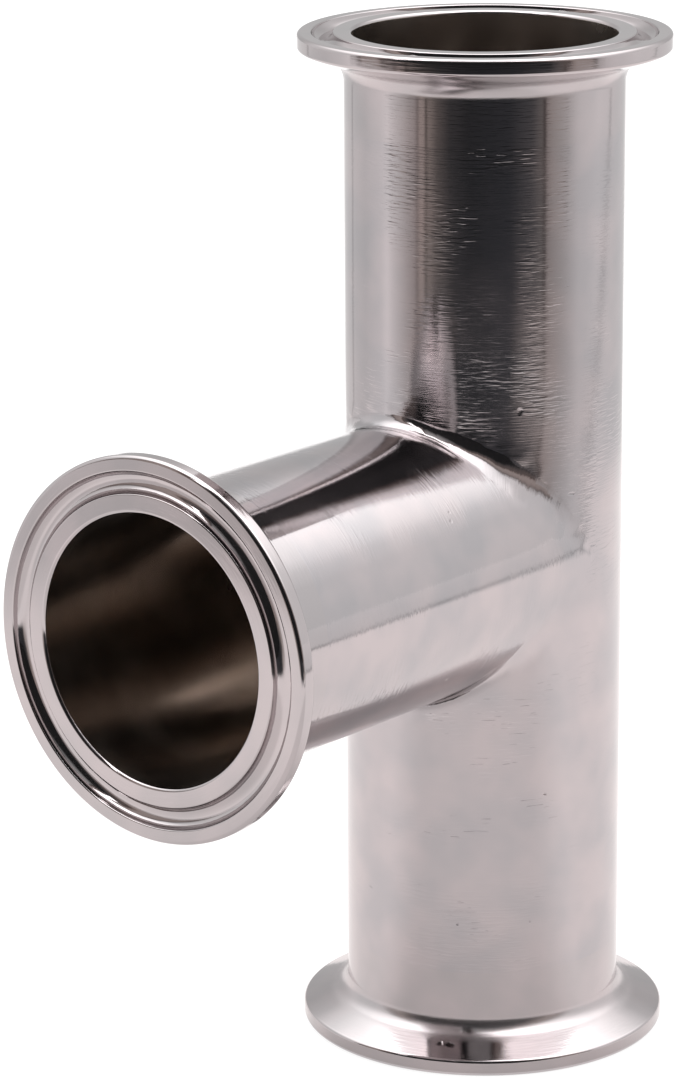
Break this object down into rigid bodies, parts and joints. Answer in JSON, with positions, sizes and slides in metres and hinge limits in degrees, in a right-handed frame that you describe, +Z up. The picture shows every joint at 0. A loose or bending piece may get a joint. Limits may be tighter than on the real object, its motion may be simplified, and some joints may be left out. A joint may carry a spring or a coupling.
{
  "type": "sanitary clamp tee",
  "caption": "Equal tee of polished stainless tube with a clamp ferrule on each end, open right through.",
  "frame": {"origin": "centre of the lower clamp face of the run, which the part stands on", "axes": "+Z up along the run, -Y from the run's axis towards the branch, +X across both"},
  "size_m": [0.0506, 0.0953, 0.14],
  "materials": {
    "polished_tube": "polished",
    "turned_ferrule": "polished"
  },
  "bodies": {
    "root": {"tee_body": "polished_tube", "run_bottom_ferrule": "turned_ferrule", "run_top_ferrule": "turned_ferrule", "branch_ferrule": "turned_ferrule"}
  },
  "joints": []
}
